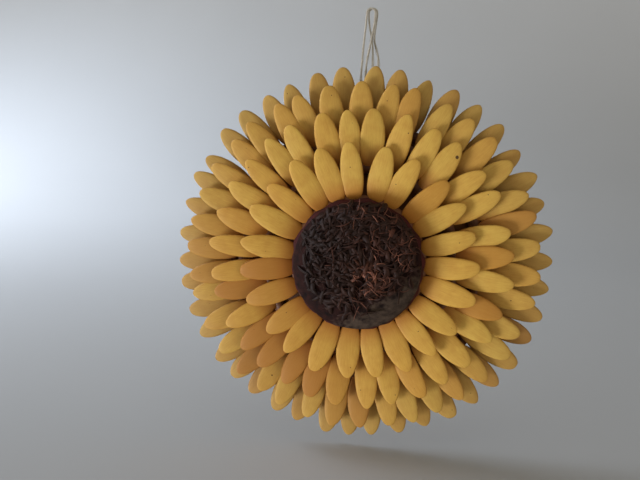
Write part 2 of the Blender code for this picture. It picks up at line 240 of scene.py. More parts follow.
def dyed_wood():
    """Light, close-grained wood, carved, sanded and dipped in yellow dye. The dye goes in unevenly, so petals
    differ in hue, and it gathers at the thin edges, which turn a burnt orange."""
    made, tree, surface = new_material("dyed_carved_wood")
    # grain holds the place on the petal in millimetres: across, along, and a number for the petal.
    grain = add(tree, "ShaderNodeAttribute", attribute_name="grain").outputs["Vector"]
    dye = add(tree, "ShaderNodeAttribute", attribute_name="dye")
    parts = add(tree, "ShaderNodeSeparateColor", {0: dye.outputs["Color"]})
    tone, edge, along = parts.outputs

    yellows = add(tree, "ShaderNodeValToRGB", {0: tone})
    ramp = yellows.color_ramp
    ramp.elements[0].color, ramp.elements[1].color = colour("#d2ad4e"), colour("#b37a2f")
    ramp.elements[1].position = 1.0
    for position, code in ((0.35, "#d8b050"), (0.75, "#d3a345")):
        ramp.elements.new(position).color = colour(code)

    # Patches of deeper dye, about 12 mm across.
    patches = add(
        tree, "ShaderNodeTexNoise", {"Vector": grain, "Scale": 0.08, "Detail": 3.0, "Roughness": 0.6}
    )
    patch = add(tree, "ShaderNodeMapRange", {0: patches.outputs["Fac"], 1: 0.38, 2: 0.72, 3: 0.0, 4: 0.36})
    deeper = add(
        tree,
        "ShaderNodeMix",
        {0: patch.outputs[0], 6: yellows.outputs["Color"], 7: colour("#b47a2a")},
        data_type="RGBA",
    )

    # Wood grain: fibres 0.5 mm wide, drawn out 12 times along the petal.
    fibres = add(tree, "ShaderNodeMapping", {"Vector": grain, "Scale": (1.6, 0.11, 1.0)})
    fibre = add(tree, "ShaderNodeTexNoise", {"Vector": fibres.outputs[0], "Scale": 0.9, "Detail": 4.0})
    fibre_depth = add(
        tree, "ShaderNodeMapRange", {0: fibre.outputs["Fac"], 1: 0.35, 2: 0.75, 3: 0.0, 4: 0.30}
    )
    grained = add(
        tree,
        "ShaderNodeMix",
        {0: fibre_depth.outputs[0], 6: deeper.outputs[2], 7: colour("#a86c24")},
        data_type="RGBA",
    )

    # Dye gathered at the edge, with a ragged inner limit.
    ragged = add(tree, "ShaderNodeTexNoise", {"Vector": grain, "Scale": 0.35, "Detail": 2.0})
    ragged_edge = add(
        tree, "ShaderNodeMath", {0: ragged.outputs["Fac"], 1: 0.16, 2: edge}, operation="MULTIPLY_ADD"
    )
    rim = add(
        tree,
        "ShaderNodeMapRange",
        {0: ragged_edge.outputs[0], 1: 1.0, 2: 1.12, 3: 0.0, 4: 0.7},
        interpolation_type="SMOOTHSTEP",
    )
    rimmed = add(
        tree,
        "ShaderNodeMix",
        {0: rim.outputs[0], 6: grained.outputs[2], 7: colour("#8a5420")},
        data_type="RGBA",
    )

    # The root: painted warm shade where the dome and the row in front shade it, over dye that ran down
    # there and dried.
    root = add(
        tree,
        "ShaderNodeMapRange",
        {0: along, 1: 0.02, 2: 0.5, 3: 0.75, 4: 0.0},
        interpolation_type="SMOOTHSTEP",
    )
    root_dye_and_shade = add(
        tree,
        "ShaderNodeMix",
        {0: root.outputs[0], 6: rimmed.outputs[2], 7: colour("#b0641a")},
        data_type="RGBA",
    )

    # Painted shade on the rows behind: a mix towards a dull brown, as much as the dye attribute's alpha
    # holds.
    rear_shaded = add(
        tree,
        "ShaderNodeMix",
        {0: dye.outputs["Alpha"], 6: root_dye_and_shade.outputs[2], 7: colour("#93764a")},
        data_type="RGBA",
    )

    # A pin knot or a worm hole: mark holds the distance from it in millimetres and, third, its radius.
    marked = add(tree, "ShaderNodeAttribute", attribute_name="mark").outputs["Vector"]
    mark = add(tree, "ShaderNodeSeparateXYZ", {0: marked})
    offset = add(tree, "ShaderNodeCombineXYZ", {0: mark.outputs[0], 1: mark.outputs[1]})
    distance = add(tree, "ShaderNodeVectorMath", {0: offset.outputs[0]}, operation="LENGTH")
    inside = add(
        tree, "ShaderNodeMath", {0: mark.outputs[2], 1: distance.outputs["Value"]}, operation="SUBTRACT"
    )
    knot = add(tree, "ShaderNodeMapRange", {0: inside.outputs[0], 1: -0.1, 2: 0.15, 3: 0.0, 4: 0.9})
    knotted = add(
        tree,
        "ShaderNodeMix",
        {0: knot.outputs[0], 6: rear_shaded.outputs[2], 7: colour("#3a1d0c")},
        data_type="RGBA",
    )
    tree.links.new(knotted.outputs[2], surface.inputs["Base Color"])

    # Sanded wood with a dry dye: matte, a little smoother along the fibres.
    rough = add(tree, "ShaderNodeMapRange", {0: fibre.outputs["Fac"], 1: 0.3, 2: 0.7, 3: 0.56, 4: 0.72})
    tree.links.new(rough.outputs[0], surface.inputs["Roughness"])
    surface.inputs["IOR"].default_value = 1.5
    surface.inputs["Specular IOR Level"].default_value = 0.35

    height = add(
        tree,
        "ShaderNodeMath",
        {0: knot.outputs[0], 1: -1.5, 2: fibre.outputs["Fac"]},
        operation="MULTIPLY_ADD",
    )
    relief = add(
        tree, "ShaderNodeBump", {"Height": height.outputs[0], "Strength": 0.5, "Distance": 0.12 * MM}
    )
    tree.links.new(relief.outputs[0], surface.inputs["Normal"])
    return made


def hot_glue():
    """Hot-melt glue, run round in a bead and dyed with the petals: a brown-orange, soft gloss."""
    made, tree, surface = new_material("dyed_hot_glue")
    place = add(tree, "ShaderNodeTexCoord").outputs["Object"]
    lumps = add(tree, "ShaderNodeTexNoise", {"Vector": place, "Scale": 180.0, "Detail": 2.0})
    tint = add(
        tree,
        "ShaderNodeMix",
        {0: lumps.outputs["Fac"], 6: colour("#52300f"), 7: colour("#7a4618")},
        data_type="RGBA",
    )
    tree.links.new(tint.outputs[2], surface.inputs["Base Color"])
    surface.inputs["Roughness"].default_value = 0.55
    relief = add(
        tree, "ShaderNodeBump", {"Height": lumps.outputs["Fac"], "Strength": 0.6, "Distance": 0.4 * MM}
    )
    tree.links.new(relief.outputs[0], surface.inputs["Normal"])
    return made


def painted_foam(name, dark, light, bead):
    """Bead-moulded foam under a matte paint: the beads, a few millimetres across, show as a shallow net."""
    made, tree, surface = new_material(name)
    place = add(tree, "ShaderNodeTexCoord").outputs["Object"]
    beads = add(
        tree, "ShaderNodeTexVoronoi", {"Vector": place, "Scale": 1 / bead}, feature="DISTANCE_TO_EDGE"
    )
    net = add(tree, "ShaderNodeMapRange", {0: beads.outputs["Distance"], 1: 0.0, 2: 0.12, 3: 0.0, 4: 1.0})
    brush = add(tree, "ShaderNodeTexNoise", {"Vector": place, "Scale": 90.0, "Detail": 5.0})
    spread = add(tree, "ShaderNodeMapRange", {0: brush.outputs["Fac"], 1: 0.3, 2: 0.7, 3: 0.0, 4: 1.0})
    tint = add(
        tree, "ShaderNodeMix", {0: spread.outputs[0], 6: colour(dark), 7: colour(light)}, data_type="RGBA"
    )
    tree.links.new(tint.outputs[2], surface.inputs["Base Color"])
    rough = add(tree, "ShaderNodeMapRange", {0: brush.outputs["Fac"], 1: 0.3, 2: 0.7, 3: 0.62, 4: 0.85})
    tree.links.new(rough.outputs[0], surface.inputs["Roughness"])
    surface.inputs["Specular IOR Level"].default_value = 0.2
    height = add(
        tree, "ShaderNodeMath", {0: brush.outputs["Fac"], 1: 0.6, 2: net.outputs[0]}, operation="MULTIPLY_ADD"
    )
    relief = add(
        tree, "ShaderNodeBump", {"Height": height.outputs[0], "Strength": 0.5, "Distance": 0.25 * MM}
    )
    tree.links.new(relief.outputs[0], surface.inputs["Normal"])
    return made


def dyed_shavings():
    """Planed wood shavings, dyed dark brown: thin curls that differ in how much dye they took, with lighter,
    redder fibres along them and a faint sheen on their planed face."""
    made, tree, surface = new_material("dyed_wood_shavings")
    dye = add(tree, "ShaderNodeAttribute", attribute_name="dye")
    parts = add(tree, "ShaderNodeSeparateColor", {0: dye.outputs["Color"]})
    tones = add(tree, "ShaderNodeValToRGB", {0: parts.outputs[0]})
    ramp = tones.color_ramp
    ramp.elements[0].color, ramp.elements[1].color = colour("#160c08"), colour("#99644f")
    for position, code in ((0.35, "#38221a"), (0.7, "#653d2f")):
        ramp.elements.new(position).color = colour(code)
    grain = add(tree, "ShaderNodeAttribute", attribute_name="grain").outputs["Vector"]
    # Fibres a third of a millimetre wide run along each strip, so a dozen show on a broad one.
    fibres = add(tree, "ShaderNodeMapping", {"Vector": grain, "Scale": (3.0, 0.2, 1.0)})
    fibre = add(tree, "ShaderNodeTexNoise", {"Vector": fibres.outputs[0], "Scale": 1.0, "Detail": 3.0})
    streak = add(tree, "ShaderNodeMapRange", {0: fibre.outputs["Fac"], 1: 0.4, 2: 0.75, 3: 0.0, 4: 0.55})
    tint = add(
        tree,
        "ShaderNodeMix",
        {0: streak.outputs[0], 6: tones.outputs["Color"], 7: colour("#1b0e0a")},
        data_type="RGBA",
    )
    tree.links.new(tint.outputs[2], surface.inputs["Base Color"])
    surface.inputs["Roughness"].default_value = 0.6
    surface.inputs["Specular IOR Level"].default_value = 0.2
    relief = add(
        tree, "ShaderNodeBump", {"Height": fibre.outputs["Fac"], "Strength": 0.5, "Distance": 0.1 * MM}
    )
    tree.links.new(relief.outputs[0], surface.inputs["Normal"])
    return made


def wood_dust():
    """Fine dust and short fibres of the same wood, pressed into wet paint: a matted, uneven brown, greyer
    where the dust stayed dry at the dome's lower edge."""
    made, tree, surface = new_material("matted_wood_dust")
    place = add(tree, "ShaderNodeTexCoord").outputs["Object"]
    clumps = add(
        tree, "ShaderNodeTexNoise", {"Vector": place, "Scale": 140.0, "Detail": 5.0, "Roughness": 0.65}
    )
    depth = add(tree, "ShaderNodeMapRange", {0: clumps.outputs["Fac"], 1: 0.35, 2: 0.7, 3: 0.0, 4: 1.0})
    wet = add(
        tree,
        "ShaderNodeMix",
        {0: depth.outputs[0], 6: colour("#130807"), 7: colour("#331813")},
        data_type="RGBA",
    )
    dry = add(
        tree,
        "ShaderNodeMix",
        {0: depth.outputs[0], 6: colour("#281f1a"), 7: colour("#524439")},
        data_type="RGBA",
    )
    axes = add(tree, "ShaderNodeSeparateXYZ", {0: place})
    # The dry part is at the lower right, past a line that slants up to the right.
    ragged = add(tree, "ShaderNodeMath", {0: clumps.outputs["Fac"], 1: 0.05}, operation="MULTIPLY")
    aside = add(
        tree,
        "ShaderNodeMath",
        {0: axes.outputs["X"], 1: BARE_SLANT, 2: ragged.outputs[0]},
        operation="MULTIPLY_ADD",
    )
    low = add(tree, "ShaderNodeMath", {0: aside.outputs[0], 1: axes.outputs["Z"]}, operation="SUBTRACT")
    edge = HANG_DROP + DRY_PAST
    dusty = add(
        tree,
        "ShaderNodeMapRange",
        {0: low.outputs[0], 1: edge - 0.010, 2: edge + 0.008, 3: 0.0, 4: 1.0},
        interpolation_type="SMOOTHSTEP",
    )
    tint = add(
        tree, "ShaderNodeMix", {0: dusty.outputs[0], 6: wet.outputs[2], 7: dry.outputs[2]}, data_type="RGBA"
    )
    tree.links.new(tint.outputs[2], surface.inputs["Base Color"])
    surface.inputs["Roughness"].default_value = 0.85
    surface.inputs["Specular IOR Level"].default_value = 0.15
    relief = add(
        tree, "ShaderNodeBump", {"Height": clumps.outputs["Fac"], "Strength": 0.7, "Distance": 0.6 * MM}
    )
    tree.links.new(relief.outputs[0], surface.inputs["Normal"])
    return made


def plywood():
    """Thin rotary-cut plywood, sawn round and left bare: pale, with wavy grain on its face and the three
    plies showing as bands round its edge."""
    made, tree, surface = new_material("bare_plywood")
    place = add(tree, "ShaderNodeTexCoord").outputs["Object"]
    # Grain lines 2 to 4 mm apart run up the board and wander over about 60 mm.
    stretched = add(tree, "ShaderNodeMapping", {"Vector": place, "Scale": (1.0, 1.0, 0.12)})
    wander = add(tree, "ShaderNodeTexNoise", {"Vector": stretched.outputs[0], "Scale": 16.0, "Detail": 4.0})
    lines = add(tree, "ShaderNodeMath", {0: wander.outputs["Fac"], 1: 26.0}, operation="MULTIPLY")
    rings = add(tree, "ShaderNodeMath", {0: lines.outputs[0], 1: 1.0}, operation="PINGPONG")
    pores = add(tree, "ShaderNodeTexNoise", {"Vector": stretched.outputs[0], "Scale": 420.0, "Detail": 3.0})
    figure = add(
        tree,
        "ShaderNodeMath",
        {0: rings.outputs[0], 1: 0.55, 2: pores.outputs["Fac"]},
        operation="MULTIPLY_ADD",
    )
    depth = add(tree, "ShaderNodeMapRange", {0: figure.outputs[0], 1: 0.35, 2: 1.15, 3: 0.0, 4: 1.0})
    face = add(
        tree,
        "ShaderNodeMix",
        {0: depth.outputs[0], 6: colour("#cdaf86"), 7: colour("#a8845a")},
        data_type="RGBA",
    )
    # The middle ply runs across, so its end grain is darker.
    across = add(tree, "ShaderNodeSeparateXYZ", {0: place}).outputs["Y"]
    middle = (board_low.y + board_high.y) / 2
    off_middle = add(tree, "ShaderNodeMath", {0: across, 1: middle}, operation="SUBTRACT")
    off_middle = add(tree, "ShaderNodeMath", {0: off_middle.outputs[0]}, operation="ABSOLUTE")
    ply = add(
        tree,
        "ShaderNodeMapRange",
        {0: off_middle.outputs[0], 1: BOARD_THICKNESS / 6, 2: BOARD_THICKNESS / 5, 3: 0.75, 4: 0.0},
    )
    banded = add(
        tree, "ShaderNodeMix", {0: ply.outputs[0], 6: face.outputs[2], 7: colour("#7d5c3a")}, data_type="RGBA"
    )
    tree.links.new(banded.outputs[2], surface.inputs["Base Color"])
    surface.inputs["Roughness"].default_value = 0.72
    relief = add(
        tree, "ShaderNodeBump", {"Height": figure.outputs[0], "Strength": 0.35, "Distance": 0.15 * MM}
    )
    tree.links.new(relief.outputs[0], surface.inputs["Normal"])
    return made


def spun_jute():
    """Undyed jute, loosely spun: pale grey-beige fibres that run along each yarn, some darker, and dull."""
    made, tree, surface = new_material("spun_jute")
    grain = add(tree, "ShaderNodeAttribute", attribute_name="grain").outputs["Vector"]
    # A jute fibre is 0.05 mm, too fine to show, so bundles of 0.2 mm are drawn.
    bundles = add(tree, "ShaderNodeMapping", {"Vector": grain, "Scale": (5.0, 0.25, 1.0)})
    fibre = add(tree, "ShaderNodeTexNoise", {"Vector": bundles.outputs[0], "Scale": 1.0, "Detail": 4.0})
    depth = add(tree, "ShaderNodeMapRange", {0: fibre.outputs["Fac"], 1: 0.3, 2: 0.7, 3: 0.0, 4: 1.0})
    tint = add(
        tree,
        "ShaderNodeMix",
        {0: depth.outputs[0], 6: colour("#ccc6b6"), 7: colour("#8e8676")},
        data_type="RGBA",
    )
    tree.links.new(tint.outputs[2], surface.inputs["Base Color"])
    surface.inputs["Roughness"].default_value = 0.85
    surface.inputs["Sheen Weight"].default_value = 0.25
    surface.inputs["Sheen Roughness"].default_value = 0.5
    relief = add(
        tree, "ShaderNodeBump", {"Height": fibre.outputs["Fac"], "Strength": 0.8, "Distance": 0.15 * MM}
    )
    tree.links.new(relief.outputs[0], surface.inputs["Normal"])
    return made


def seamless_paper():
    """Pale studio paper: a plain matte sweep."""
    made, tree, surface = new_material("studio_paper")
    place = add(tree, "ShaderNodeTexCoord").outputs["Object"]
    clouds = add(tree, "ShaderNodeTexNoise", {"Vector": place, "Scale": 1.5, "Detail": 2.0})
    tint = add(
        tree,
        "ShaderNodeMix",
        {0: clouds.outputs["Fac"], 6: colour("#b0b1af"), 7: colour("#b6b7b5")},
        data_type="RGBA",
    )
    tree.links.new(tint.outputs[2], surface.inputs["Base Color"])
    surface.inputs["Roughness"].default_value = 0.9
    return made


Layers = namedtuple("Layers", "grain dye mark")


def new_layers(bm):
    """What a piece's material reads at each vertex: its place along the grain, its dye and its mark."""
    return Layers(
        bm.verts.layers.float_vector.new("grain"),
        bm.verts.layers.float_color.new("dye"),
        bm.verts.layers.float_vector.new("mark"),
    )


# Petals


def root_radius(row):
    """Distance of the roots of a row's petals from the flower's axis."""
    return row.tip_radius - math.sqrt(PETAL_LENGTH**2 - (row.tip_height - row.root_height) ** 2)


def petal_profile(along, tip_sharpness):
    """Share of the full half width at a place along the petal, from 0 at the root to 1 at the tip."""
    reach, sharpness = (WIDEST_AT, ROOT_SHARPNESS) if along < WIDEST_AT else (1 - WIDEST_AT, tip_sharpness)
    return max(0.0, 1 - ((along - WIDEST_AT) / reach) ** 2) ** sharpness


def petal_place(row, turn, yaw, tilt, roll):
    """The matrix that carries a petal lying along +Y, its root at the origin, to its place in the row."""
    slope = math.asin((row.tip_height - row.root_height) / PETAL_LENGTH)
    return (
        Matrix.Rotation(-turn, 4, "Z")
        @ Matrix.Translation((0.0, root_radius(row), row.root_height))
        @ Matrix.Rotation(yaw, 4, "Z")
        @ Matrix.Rotation(slope + tilt, 4, "X")
        @ Matrix.Rotation(roll, 4, "Y")
    )


# Pin knots and worm holes that stand out: place across, from -1 to 1, place along, and radius.
MARKS = {
    ("petal_row_1", 2): (-0.45, 0.46, 0.5 * MM),
    ("petal_row_2", 3): (0.45, 0.8, 1.6 * MM),
    ("petal_row_2", 1): (0.5, 0.72, 0.6 * MM),
    ("petal_row_1", 12): (-0.33, 0.79, 0.5 * MM),
    ("petal_row_3", 10): (0.1, 0.6, 0.6 * MM),
    ("petal_row_3", 22): (-0.1, 0.6, 0.8 * MM),
    ("petal_row_3", 36): (0.2, 0.83, 0.5 * MM),
    ("petal_row_4", 39): (-0.3, 0.85, 0.5 * MM),
}


def petal(bm, layers, row, index, draw, looks):
    """A ball drawn out from root to tip: crowned in front, flatter behind, thin at its edges, and arched."""
    place = index + row.phase + draw.uniform(-TURN_SPREAD, TURN_SPREAD)
    turn = place * math.tau / row.count
    length = PETAL_LENGTH * (1 + draw.uniform(-LENGTH_SPREAD, LENGTH_SPREAD))
    width = PETAL_WIDTH * draw.uniform(*WIDTH_RANGE)
    arch = PETAL_ARCH + draw.uniform(-ARCH_SPREAD, ARCH_SPREAD)
    yaw = draw.uniform(-YAW_SPREAD, YAW_SPREAD)
    roll = draw.uniform(-ROLL_SPREAD, ROLL_SPREAD)
    tilt = draw.uniform(-TILT_SPREAD, TILT_SPREAD)

    bow = looks.uniform(-BOW_SPREAD, BOW_SPREAD)
    lean = looks.uniform(-LEAN_SPREAD, LEAN_SPREAD)
    twist = looks.uniform(-TWIST_SPREAD, TWIST_SPREAD)
    sharpness = TIP_SHARPNESS + looks.uniform(-SHARPNESS_SPREAD, SHARPNESS_SPREAD)
    orange = ORANGE_MORE * (1 - 2 * row.dullness) * max(0.0, math.cos(turn - ORANGE_AT))
    tone = looks.betavariate(2.0, 2.6) + orange
    number = looks.uniform(0, 1000)
    mark = Vector((looks.uniform(-0.3, 0.3) * width, looks.uniform(0.45, 0.9) * length, 0))
    mark_size = looks.choice((0, 0, 0, 0, 0, 0, 0.3, 0.5)) * MM
    if (row.name, index) in MARKS:
        across_share, along_share, mark_size = MARKS[row.name, index]
        mark = Vector((across_share * width / 2, along_share * length, 0))

    ball = bmesh.ops.create_uvsphere(bm, u_segments=PETAL_SIDES, v_segments=PETAL_STATIONS, radius=1.0)
    verts = ball["verts"]
    bmesh.ops.rotate(bm, verts=verts, matrix=Matrix.Rotation(-math.pi / 2, 3, "X"))
    for vert in verts:
        along = min(1.0, max(0.0, (vert.co.y + 1) / 2))
        share = petal_profile(along, sharpness)
        round_x, round_z = Vector((vert.co.x, vert.co.z)).normalized() if share > 0 else (0.0, 0.0)
        across = math.copysign(abs(round_x) ** SECTION_FLATNESS, round_x)
        up = math.copysign(abs(round_z) ** SECTION_FLATNESS, round_z)
        thickness = PETAL_CROWN if up > 0 else PETAL_BELLY
        middle = 1 - (2 * along - 1) ** 2
        x, y = across * share * width / 2, along * length
        z = up * thickness * share**END_THINNING
        z += noise.noise(Vector((x / LUMP_LENGTH, y / LUMP_LENGTH, number))) * LUMP_HEIGHT * share
        turned = Matrix.Rotation(twist * (along - 0.5), 3, "Y") @ Vector((x, 0, z))
        drift = bow * middle + lean * max(0.0, along - WIDEST_AT) ** 2 / (1 - WIDEST_AT) ** 2
        vert.co = (turned.x + drift, y, turned.z + arch * middle)
        vert[layers.grain] = (x / MM, y / MM, number)
        edge = max(abs(across), along**6)
        # The fourth value is the row's painted shade.
        vert[layers.dye] = (tone, edge, along, row.dullness)
        vert[layers.mark] = ((x - mark.x) / MM, (y - mark.y) / MM, mark_size / MM)
    bmesh.ops.transform(bm, matrix=petal_place(row, turn, yaw, tilt, roll), verts=verts)


def turned_ring(bm, corners, steps=96, material_index=0):
    """A closed outline of (radius, height) corners, turned about +Z."""
    start = [bm.verts.new((radius, 0.0, height)) for radius, height in corners]
    edges = [bm.edges.new(pair) for pair in zip(start, start[1:] + start[:1])]
    before = set(bm.faces)
    bmesh.ops.spin(
        bm, geom=start + edges, cent=(0, 0, 0), axis=(0, 0, 1), angle=math.tau, steps=steps, use_merge=True
    )
    made = [face for face in bm.faces if face not in before]
    bmesh.ops.recalc_face_normals(bm, faces=made)
    for face in made:
        face.material_index = material_index


def petal_row(row, number, materials):
    bm = bmesh.new()
    layers = new_layers(bm)
    draw = random.Random(SEED + number)
    looks = random.Random(SEED * 10 + number)
    for index in range(row.count):
        petal(bm, layers, row, index, draw, looks)
    middle = root_radius(row)
    low = row.root_height - ROOT_ABOVE_TREAD + GAP
    inner, outer = middle - RING_WIDTH / 2, middle + RING_WIDTH / 2
    corners = [(outer, low + RING_THICKNESS), (outer, low), (inner, low), (inner, low + RING_THICKNESS)]
    turned_ring(bm, corners, material_index=1)
    finished(f"carved_petals_{number}", bm, materials, [row.name])


# Centre


def ball_point(angle, out=0.0):
    """Radius and height of the half ball's surface at an angle above its widest level, moved out."""
    radius, rise = BALL_RADIUS * math.cos(angle), BALL_RISE * math.sin(angle)
    normal = Vector((radius / BALL_RADIUS**2, rise / BALL_RISE**2)).normalized()
    return radius + normal.x * out, BALL_WIDEST + rise + normal.y * out


def turned_cap(bm, profile, steps=128):
    """A profile of (radius, height) points that starts and ends on the axis, turned about +Z."""
    points = [bm.verts.new((radius, 0.0, height)) for radius, height in profile]
    edges = [bm.edges.new(pair) for pair in zip(points, points[1:])]
    bmesh.ops.spin(
        bm, geom=points + edges, cent=(0, 0, 0), axis=(0, 0, 1), angle=math.tau, steps=steps, use_merge=True
    )
    bmesh.ops.remove_doubles(bm, verts=bm.verts, dist=0.01 * MM)
    bmesh.ops.recalc_face_normals(bm, faces=bm.faces)


def half_ball(material):
    """The painted half ball, closed below."""
    bm = bmesh.new()
    lowest = math.asin((BALL_BOTTOM - BALL_WIDEST) / BALL_RISE)
    steps = 28
    angles = [math.pi / 2 + (lowest - math.pi / 2) * i / steps for i in range(steps + 1)]
    profile = [ball_point(angle) for angle in angles]
    profile[0] = (0.0, profile[0][1])
    turned_cap(bm, [*profile, (0.0, BALL_BOTTOM)])
    # Paint and glue ran out between the petals' roots, so the rim isn't a clean circle.
    for vert in bm.verts:
        flat = Vector((vert.co.x, vert.co.y, 0.0))
        rim = max(0.0, flat.length / BALL_RADIUS - RIM_FROM) / (1 - RIM_FROM)
        vert.co += flat.normalized() * noise.noise(flat.normalized() * RIM_WAVES) * RIM_RUN * rim
    finished("painted_half_ball", bm, [material], ["centre_ball"])


def on_dome(place_x, place_y, out):
    """The matrix that carries a piece lying at the origin onto the dome, its +Z along the dome's normal."""
    spread = math.hypot(place_x, place_y)
    angle = math.acos(min(1.0, spread / (BALL_RADIUS + MAT_THICKNESS)))
    radius, height = ball_point(angle, out)
    normal = Vector((math.cos(angle) / BALL_RADIUS, 0.0, math.sin(angle) / BALL_RISE)).normalized()
    return (
        Matrix.Rotation(math.atan2(place_y, place_x), 4, "Z")
        @ Matrix.Translation((radius, 0.0, height))
        @ normal.to_track_quat("Z", "Y").to_matrix().to_4x4()
    )


def felt(material_index):
    """The matted dust and short fibres that the strips lie in, as a mesh."""
    bm = bmesh.new()
    layers = new_layers(bm)
    steps = 36
    angles = [math.pi / 2 + (MAT_EDGE_ANGLE - math.pi / 2) * i / steps for i in range(steps + 1)]
    outside = [ball_point(angle, GAP + MAT_THICKNESS) for angle in angles]
    inside = [ball_point(angle, GAP) for angle in reversed(angles)]
    outside[0] = (0.0, outside[0][1])
    inside[-1] = (0.0, inside[-1][1])
    turned_cap(bm, outside + inside)
    bm.normal_update()
    for vert in bm.verts:
        vert[layers.grain] = vert.co / MM
        vert[layers.dye] = (0.1, 0.0, 0.0, 1.0)
        if above_ball(vert.co) > MAT_THICKNESS / 2:
            lump = abs(noise.fractal(vert.co / MAT_LUMP_LENGTH, 1.0, 2.0, 3))
            vert.co += vert.normal * lump * MAT_LUMP_HEIGHT
    for face in bm.faces:
        face.material_index = material_index
    mesh = bpy.data.meshes.new("felt")
    bm.to_mesh(mesh)
    bm.free()
    return mesh


def strip(bm, layers, kind, draw):
    """One shaving: a flat grid, curled along its length, twisted, and laid on the dome."""
    length, width = draw.uniform(*kind.length) * MM, draw.uniform(*kind.width) * MM
    bend = math.radians(draw.uniform(*kind.bend)) * draw.choice((1, 1, -0.6))
    twist = math.radians(draw.gauss(0, kind.twist))
    sweep = draw.uniform(-kind.sweep, kind.sweep)
    number = draw.uniform(0, 1000)
    heading, tilt = draw.uniform(0, math.tau), math.radians(draw.gauss(0, kind.tilt))
    away, around = STRIPS_REACH * math.sqrt(draw.random()), draw.uniform(0, math.tau)
    place_x, place_y = STRIPS_ACROSS + away * math.cos(around), STRIPS_UP + away * math.sin(around)
    lift = draw.uniform(*kind.lift) * MM
    pale = math.exp(-(((Vector((place_x, place_y)) - PALE_PLACE).length / PALE_REACH) ** 2))
    tone = kind.tone * (0.4 + 1.2 * draw.betavariate(1.4, 2.4)) + PALE_TONE * pale * draw.random()
    tone *= 1 - DARK_SHARE * min(1.0, max(0.0, (DARK_LEFT_OF - place_x) / STRIPS_REACH))
    if BARE_SLANT * place_x - place_y > BARE_PAST and draw.random() < BARE_SHARE:
        return
    if 0.6 * place_y + place_x < THIN_LEFT_OF and draw.random() < THIN_SHARE:
        return
    verts = bmesh.ops.create_grid(bm, x_segments=STRIP_SEGMENTS, y_segments=1, size=0.5)["verts"]
    radius = length / bend
    for vert in verts:
        along = vert.co.x
        side = vert.co.y * width * (1 - 0.8 * abs(2 * along) ** 3)
        turn, spin = along * bend, twist * along
        out = Vector((math.sin(turn), 0, math.cos(turn)))
        aside = sweep * length * (along**2 - 0.08)
        centre = Vector((radius * math.sin(turn), aside, radius * (math.cos(turn) - 1)))
        vert.co = centre + (Vector((0, math.cos(spin), 0)) + out * math.sin(spin)) * side
        vert[layers.grain] = (side / MM, along * length / MM, number)
        vert[layers.dye] = (tone, 0.0, 0.0, 1.0)
    sag = min(abs(radius) * (1 - math.cos(bend / 2)), STRIP_SAG)
    place = (
        on_dome(place_x, place_y, MAT_THICKNESS + lift + (sag if bend > 0 else 0) * 0.5)
        @ Matrix.Rotation(heading, 4, "Z")
        @ Matrix.Rotation(tilt, 4, "X")
        @ Matrix.Rotation(draw.gauss(0, STRIP_LEAN), 4, "Y")
    )
    bmesh.ops.transform(bm, matrix=place, verts=verts)


def above_ball(point):
    """Distance of a point from the half ball's surface, near to it, as the ellipse's equation gives it."""
    radius, rise = math.hypot(point.x, point.y), point.z - BALL_WIDEST
    level = (radius / BALL_RADIUS) ** 2 + (rise / BALL_RISE) ** 2 - 1
    return level / (2 * math.hypot(radius / BALL_RADIUS**2, rise / BALL_RISE**2))


def shavings(materials):
    """All the strips, pressed onto the dome and given a thickness, and the felt that they lie in."""
    bm = bmesh.new()
    layers = new_layers(bm)
    draw = random.Random(SEED)
    for kind in SHAVINGS:
        for _ in range(kind.count):
            strip(bm, layers, kind, draw)
    # What dips into the ball is pressed up onto it, and what stands too proud is pressed down.
    for vert in bm.verts:
        height = above_ball(vert.co)
        rise = vert.co.z - BALL_WIDEST
        level = Vector((vert.co.x / BALL_RADIUS**2, vert.co.y / BALL_RADIUS**2, rise / BALL_RISE**2))
        out = math.hypot(vert.co.x, vert.co.y) / BALL_RADIUS
        low, high = GAP + STRIP_THICKNESS, STRIPS_STAND * (1 - 0.7 * min(1.0, out) ** 4)
        if height < low:
            vert.co += level.normalized() * (low - height)
        elif height > high:
            vert.co -= level.normalized() * (height - high) * 0.8
    bmesh.ops.solidify(bm, geom=bm.faces[:], thickness=STRIP_THICKNESS)
    mat = felt(material_index=1)
    bm.from_mesh(mat)
    bpy.data.meshes.remove(mat)
    finished("curled_shavings", bm, materials, ["shavings"])


# Back


